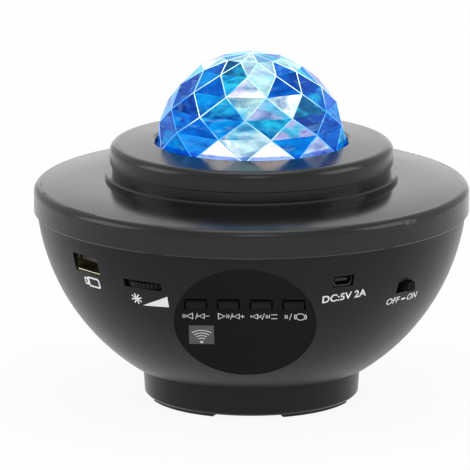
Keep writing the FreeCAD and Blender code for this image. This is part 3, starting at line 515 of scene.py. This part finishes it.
def stroke(points, width):
    """A closed outline round an open line of points."""
    left, right = [], []
    for i, (x, y) in enumerate(points):
        before = points[max(i - 1, 0)]
        after = points[min(i + 1, len(points) - 1)]
        dx, dy = after[0] - before[0], after[1] - before[1]
        length = math.hypot(dx, dy)
        nx, ny = -dy / length * width / 2, dx / length * width / 2
        left.append((x + nx, y + ny))
        right.append((x - nx, y - ny))
    return left + right[::-1]


def point_at(x, y, radius, angle):
    turn = math.radians(angle)
    return x + radius * math.cos(turn), y + radius * math.sin(turn)


def circle(x, y, radius, count=24):
    return [point_at(x, y, radius, 360.0 * i / count) for i in range(count)]


def arc(x, y, radius, middle, half_angle, width, count=8):
    """A stroke along part of a circle, to both sides of a middle angle."""
    angles = [middle - half_angle + 2 * half_angle * i / (count - 1) for i in range(count)]
    return flat_shape(stroke([point_at(x, y, radius, angle) for angle in angles], width))


def line(x0, y0, x1, y1, width=0.24):
    return flat_shape(stroke([(x0, y0), (x1, y1)], width))


def slash(x, y, half_height, lean):
    """A slanted line that starts at x."""
    return line(x, y - half_height, x + lean, y + half_height)


def bars(places, y, half_height, width):
    """Upright bars side by side."""
    return [line(x, y - half_height, x, y + half_height, width) for x in places]


def triangle(x, y, size, direction):
    """The outline of a play mark that points right, or left where direction is -1."""
    outer = [(-0.5, 0.66), (0.62, 0), (-0.5, -0.66)]
    inner = [(-0.37, 0.46), (0.41, 0), (-0.37, -0.46)]
    return flat_shape(*[[(x + px * size * direction, y + py * size) for px, py in outline]
                        for outline in (outer, inner)])


# Marks

def sun_icon(reach=2.3, width=0.5, first_angle=12):
    """Eight short rays, joined at the middle, as four lines."""
    rays = []
    for i in range(4):
        x, y = point_at(0, 0, reach, 45 * i + first_angle)
        rays.append(line(-x, -y, x, y, width))
    return rays


def memory_stick_icon():
    """The outline of a memory stick with its plug at the left."""
    body = [(-2.0, 2.1), (3.8, 2.1), (4.5, 1.5), (4.5, -1.5), (3.8, -2.1), (-2.0, -2.1)]
    hollow = [(-1.3, 1.45), (3.5, 1.45), (3.85, 1.15), (3.85, -1.15), (3.5, -1.45), (-1.3, -1.45)]
    plug = [(-4.2, 1.5), (-2.0, 1.5), (-2.0, -1.5), (-4.2, -1.5)]
    plug_hollow = [(-3.6, 0.85), (-2.6, 0.85), (-2.6, -0.85), (-3.6, -0.85)]
    return [flat_shape(body, hollow), flat_shape(plug, plug_hollow)]


def wedge_icon():
    """A wedge that grows to the right, for more light."""
    return [flat_shape([(-5.6, -2.2), (5.6, 3.0), (5.45, -1.6)])]


def loudspeaker(x, y):
    return [triangle(x, y, 2.1, -1), line(x - 1.5, y - 0.6, x - 1.5, y + 0.6, 0.3)]


def skip_and_volume(start, y, direction):
    """A skip mark with two arcs, a slash, a loudspeaker and a minus. start is near their left end."""
    mark_at, arcs_at = (0.7, 2.6) if direction > 0 else (1.9, 0.3)
    marks = [triangle(start + mark_at, y, 2.5, direction)]
    for step in (0.0, 0.7):
        centre = start + arcs_at + (step - 1.2) * direction
        marks.append(arc(centre, y, 1.4, 90 - 90 * direction, 38, 0.26))
    marks.append(slash(start + 4.0, y, 1.5, 0.8))
    marks += loudspeaker(start + 6.4, y)
    marks.append(line(start + 7.7, y, start + 9.2, y, 0.28))
    return marks


def mute_and_list(x, y):
    """A crossed loudspeaker, a slash, three bars and two lines."""
    marks = loudspeaker(x, y)
    for slope in (-1, 1):
        marks.append(line(x + 1.0, y - slope * 0.8, x + 2.5, y + slope * 0.8))
    marks.append(slash(x + 2.6, y, 1.6, 0.9))
    marks += bars((x + 4.1, x + 4.7, x + 5.3), y, 0.8, 0.26)
    for rise in (-0.95, 0.95):
        marks.append(line(x + 5.9, y + rise, x + 8.2, y + rise, 0.32))
    return marks


def pause_and_mode(x, y):
    """Two bars, a slash, and a ring between two arcs. x is the ring's centre."""
    marks = bars((x - 5.6, x - 4.9), y, 0.9, 0.32)
    marks.append(slash(x - 4.1, y, 1.6, 0.9))
    marks.append(flat_shape(circle(x, y, 1.75), circle(x, y, 1.42)))
    marks += [arc(x, y, 2.2, 90 - 90 * side, 34, 0.36) for side in (-1, 1)]
    return marks


def key_icons():
    """Plain playback marks under the four keys. The second one's minus is crossed to a plus."""
    y = ICON_ROW_UP
    marks = skip_and_volume(BACK_START, y, -1) + skip_and_volume(FORWARD_START, y, 1)
    marks += bars((FORWARD_START + 8.45,), y, 0.75, 0.28)
    return marks + mute_and_list(MUTE_ACROSS, y) + pause_and_mode(MODE_ACROSS, y)


def fan_icon():
    """Rings of a signal, spreading from a dot."""
    rings = [arc(*FAN_DOT, radius, 90, 38, 0.36, count=20) for radius in FAN_RADII]
    return [flat_shape(circle(*FAN_DOT, 0.6, 16))] + rings


# Printing on the bowl and the panel

def bowl_point(azimuth, height, across, upward, out):
    """A point on the bowl, from a place given by azimuth and height and offsets along its surface."""
    latitude = math.asin((height - BOWL_CENTRE.z) / BOWL_RADIUS) + upward / BOWL_RADIUS
    turn = math.radians(azimuth) + across / (BOWL_RADIUS * math.cos(latitude))
    direction = Vector((math.sin(turn) * math.cos(latitude), -math.cos(turn) * math.cos(latitude),
                        math.sin(latitude)))
    return BOWL_CENTRE + direction * (BOWL_RADIUS + out)


def on_bowl(place, slope=0.0):
    """Where a flat mark's points go on the bowl, with the mark turned by a slope in degrees."""
    azimuth, height = place
    turn = math.radians(slope)

    def put(x, y, out):
        across = x * math.cos(turn) - y * math.sin(turn)
        upward = x * math.sin(turn) + y * math.cos(turn)
        return bowl_point(azimuth, height, across, upward, out)
    return put


def on_panel(across, upward, out):
    """Where a flat mark's points go on the control panel's face."""
    sideways = Vector((across, 0, 0))
    return BOWL_CENTRE + PANEL_FACING * (PANEL_DISTANCE + out) + PANEL_RISE * upward + sideways


def print_on(name, shapes, put, material):
    """Lay flat shapes on a surface as a thin layer of ink. put gives the place of each point."""
    bm = bmesh.new()
    for mesh in shapes:
        bm.from_mesh(mesh)
    bmesh.ops.remove_doubles(bm, verts=bm.verts, dist=WELD_DISTANCE)
    bmesh.ops.triangulate(bm, faces=bm.faces)
    long_edges = [edge for edge in bm.edges if edge.calc_length() > LONG_EDGE]
    bmesh.ops.subdivide_edges(bm, edges=long_edges, cuts=LONG_EDGE_CUTS, use_grid_fill=True)
    solid = bmesh.ops.extrude_face_region(bm, geom=bm.faces[:])
    raised = {part for part in solid["geom"] if isinstance(part, bmesh.types.BMVert)}
    for corner in bm.verts:
        corner.co = put(corner.co.x, corner.co.y, HALF_INK if corner in raised else -HALF_INK)
    bmesh.ops.recalc_face_normals(bm, faces=bm.faces)
    finish_mesh(bm, name, (material,))


def printing():
    ink = surface("white_ink", grey(0.78), grey(0.86), rough=(0.45, 0.55))
    faint_ink = surface("grey_ink", grey(0.62), grey(0.72), rough=(0.45, 0.55))
    print_on("print_stick", memory_stick_icon(), on_bowl(STICK_PLACE), ink)
    print_on("print_sun", sun_icon(), on_bowl(SUN_PLACE), ink)
    print_on("print_wedge", wedge_icon(), on_bowl(WEDGE_PLACE), ink)
    supply = flat_text("DC:5V 2A", DC_CAPITAL, spacing=1.02, bold=0.1)
    print_on("print_dc", [supply], on_bowl(DC_PLACE, DC_SLOPE), ink)
    print_on("print_off", [flat_text("OFF", SWITCH_CAPITAL, bold=0.04)], on_bowl(OFF_PLACE), ink)
    print_on("print_dash", [line(-1.1, 0, 1.1, 0, 0.7)], on_bowl(DASH_PLACE), ink)
    print_on("print_on", [flat_text("ON", SWITCH_CAPITAL, bold=0.04)], on_bowl(ON_PLACE), ink)
    print_on("print_keys", key_icons(), on_panel, faint_ink)
    print_on("print_fan", fan_icon(), on_panel, faint_ink)


# Finishes for the parts that come from the frame, by material slot

def black_plastics():
    """The dark mouldings: housing, glossier lid, controls, keys, window, receiver and socket tongues."""
    moulding = {"dark": (0.006, 0.006, 0.0063), "light": (0.0095, 0.0095, 0.01), "grain": FINE_GRAIN,
                "cloud": 9.0, "depth": 0.012}
    return {
        "black_plastic": surface("satin_black", **moulding, rough=(0.27, 0.33), specular=0.2),
        "lid_plastic": surface("satin_black_lid", **moulding, rough=(0.17, 0.23), specular=0.38),
        "control_plastic": surface("control_black", grey(0.006), grey(0.009), rough=(0.4, 0.5), depth=0.03,
                                   specular=0.15),
        # The keys' colour is darkened on its upper edge, a painted shade of their recess in the panel
        "key_plastic": surface("key_black", (0.006, 0.0068, 0.0085), (0.009, 0.010, 0.0125),
                               rough=(0.32, 0.42), depth=0.03, specular=0.1, darken=painted_key_shade),
        "window": surface("smoked_window", (0.055, 0.055, 0.058), (0.072, 0.072, 0.075), rough=(0.25, 0.35),
                          grain=1400.0, depth=0.03),
        "receiver": surface("epoxy", grey(0.01), grey(0.016), rough=(0.1, 0.2)),
        "socket_plastic": surface("socket_insert", (0.012, 0.008, 0.006), (0.02, 0.014, 0.01),
                                  rough=(0.4, 0.5)),
    }


def pale_and_soft():
    """White gears and lamp tray, cream plungers, rubber pads, the paper cone and its painted basket."""
    return {
        "white_nylon": surface("white_nylon", (0.72, 0.72, 0.70), (0.8, 0.8, 0.78), rough=(0.4, 0.5)),
        "plunger": surface("plunger_cream", (0.5, 0.48, 0.42), (0.6, 0.58, 0.52), rough=(0.4, 0.5)),
        "rubber": surface("rubber", grey(0.012), grey(0.02), rough=(0.75, 0.9), grain=1500.0, depth=0.2),
        "paper_cone": surface("pulp_cone", grey(0.02), grey(0.04), rough=(0.8, 0.95), grain=800.0, depth=0.4),
        "basket_steel": surface("pressed_steel", grey(0.03), grey(0.045), rough=(0.35, 0.5)),
    }


def metal(name, dark, light, rough, stretch=(1, 1, 1)):
    return surface(name, dark, light, rough=rough, metallic=1.0, stretch=stretch)


def metals():
    """Screws, motor, heat sink, laser, sockets and switches. The heat sink's grain lies in level bands."""
    return {
        "steel": metal("zinc_plated", (0.42, 0.42, 0.40), (0.55, 0.55, 0.54), (0.25, 0.4)),
        "motor_steel": metal("nickel_plated", (0.5, 0.5, 0.48), (0.62, 0.62, 0.6), (0.2, 0.35)),
        "alloy": metal("milled_alloy", (0.7, 0.7, 0.71), (0.8, 0.8, 0.81), (0.3, 0.45), stretch=(1, 1, 12)),
        "brass": metal("turned_brass", (0.6, 0.42, 0.15), (0.75, 0.56, 0.25), (0.2, 0.35)),
        "socket_metal": metal("plated_socket", (0.72, 0.62, 0.42), (0.86, 0.78, 0.6), (0.2, 0.34)),
        "tact": metal("tact_steel", (0.4, 0.4, 0.41), (0.52, 0.52, 0.53), (0.3, 0.4)),
    }


def clear_lit_and_boards():
    lens = clear_surface("clear_lens", (0.85, 0.93, 0.97), rough=0.05, alpha=0.4)
    return {
        "ripple_lens": lens,
        "crystal": lens,
        "grating": clear_surface("grating_film", (0.7, 0.75, 0.8), rough=0.15, alpha=0.5),
        "lamp": lamp_surface(),
        "board": circuit_surface(),
    }


def special_finishes():
    """Finishes for single nodes that look unlike the rest of their slot."""
    return {
        "control_panel": surface("panel_black", (0.003, 0.003, 0.0033), (0.005, 0.005, 0.0055),
                                 rough=(0.3, 0.36), grain=FINE_GRAIN, cloud=12.0, depth=0.012, specular=0.08),
        "dc_socket_shell": metal("dark_nickel", (0.10, 0.095, 0.085), (0.16, 0.15, 0.135), (0.25, 0.4)),
    }


def dress_frame():
    """Give every node of the frame its finish and smooth its curved faces."""
    by_slot = {**black_plastics(), **pale_and_soft(), **metals(), **clear_lit_and_boards()}
    by_node = special_finishes()
    slots = {part["node"]: part["material_slot"] for part in frame["record"]["subparts"]}
    for name, node in frame["nodes"].items():
        node.data.materials.clear()
        node.data.materials.append(by_node.get(name, by_slot[slots[name]]))
        node.data.shade_smooth()
        node.data.set_sharp_from_angle(angle=SMOOTH_ANGLE)


# Studio

def world_light():
    """A soft, even room. It is plain white where it is seen directly, mirrored or through something clear."""
    world = bpy.data.worlds.new("studio")
    world.use_nodes = True
    bpy.context.scene.world = world
    tree = world.node_tree
    tree.nodes.clear()
    room = add_node(tree, "ShaderNodeBackground", {"Strength": ROOM_LIGHT})
    white = add_node(tree, "ShaderNodeBackground", {"Strength": 1.0})
    choose = tree.nodes.new("ShaderNodeMixShader")
    tree.links.new(seen_or_mirrored(tree), choose.inputs["Fac"])
    tree.links.new(room.outputs["Background"], choose.inputs[1])
    tree.links.new(white.outputs["Background"], choose.inputs[2])
    output = tree.nodes.new("ShaderNodeOutputWorld")
    tree.links.new(choose.outputs["Shader"], output.inputs["Surface"])


def floor_surface():
    """Pale and matt. What is seen is lifted towards white, and the rest of it keeps the object's shadow."""
    material, tree, shader = new_material("pale_floor")
    tree.links.new(ramp(tree, noise(tree, 40.0), grey(0.89), grey(0.91)), shader.inputs["Base Color"])
    set_inputs(shader, {"Roughness": 0.9, "Specular IOR Level": 0.1})
    white = add_node(tree, "ShaderNodeEmission", {"Color": (1, 1, 1, 1)})
    share = add_node(tree, "ShaderNodeMath", {1: FLOOR_LIFT}, operation="MULTIPLY")
    tree.links.new(seen_or_mirrored(tree), share.inputs[0])
    mixed = tree.nodes.new("ShaderNodeMixShader")
    tree.links.new(share.outputs["Value"], mixed.inputs["Fac"])
    tree.links.new(shader.outputs["BSDF"], mixed.inputs[1])
    tree.links.new(white.outputs["Emission"], mixed.inputs[2])
    output = next(node for node in tree.nodes if node.type == "OUTPUT_MATERIAL")
    tree.links.new(mixed.outputs["Shader"], output.inputs["Surface"])
    return material


def floor():
    """A pale table top."""
    half = FLOOR_HALF_WIDTH
    corners = [(-half, -half, 0), (half, -half, 0), (half, half, 0), (-half, half, 0)]
    mesh = bpy.data.meshes.new("floor")
    mesh.from_pydata(corners, [], [(0, 1, 2, 3)])
    mesh.materials.append(floor_surface())
    ground = bpy.data.objects.new("floor", mesh)
    bpy.context.scene.collection.objects.link(ground)


def soft_light(name, power, width, place):
    lamp = bpy.data.lights.new(name, "AREA")
    lamp.energy = power
    lamp.size = width
    holder = bpy.data.objects.new(name, lamp)
    holder.location = place
    holder.rotation_euler = (LIGHT_TARGET - place).to_track_quat("-Z", "Y").to_euler()
    bpy.context.scene.collection.objects.link(holder)


def camera():
    """A camera at the photo's angle, aimed so that the object stands where it does in the photo."""
    lens = bpy.data.cameras.new("camera")
    focal_pixels = PIXELS_PER_MM / MM * CAMERA_DISTANCE
    lens.sensor_width = SENSOR_WIDTH
    lens.lens = focal_pixels * SENSOR_WIDTH / PHOTO_SIZE
    lens.clip_end = VIEW_DEPTH
    eye = bpy.data.objects.new("camera", lens)
    bpy.context.scene.collection.objects.link(eye)
    azimuth = math.radians(PHOTO_AZIMUTH)
    elevation = math.radians(PHOTO_ELEVATION)
    toward = Vector((math.sin(azimuth) * math.cos(elevation), -math.cos(azimuth) * math.cos(elevation),
                     math.sin(elevation)))
    right = Vector((math.cos(azimuth), math.sin(azimuth), 0))
    aim = Vector((0, 0, AIM_HEIGHT)) - right * AIM_LEFT
    eye.location = aim + toward * CAMERA_DISTANCE
    eye.rotation_euler = (-toward).to_track_quat("-Z", "Y").to_euler()
    bpy.context.scene.camera = eye


camera()
world_light()
floor()
for box_name, (power, width, place) in SOFTBOXES.items():
    soft_light(box_name, power, width, place)

dress_frame()
dome = crystal_dome(facet_surface(), ridge_surface())
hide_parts("crystal_dome")
printing()

bpy.context.scene.view_settings.view_transform = "Standard"
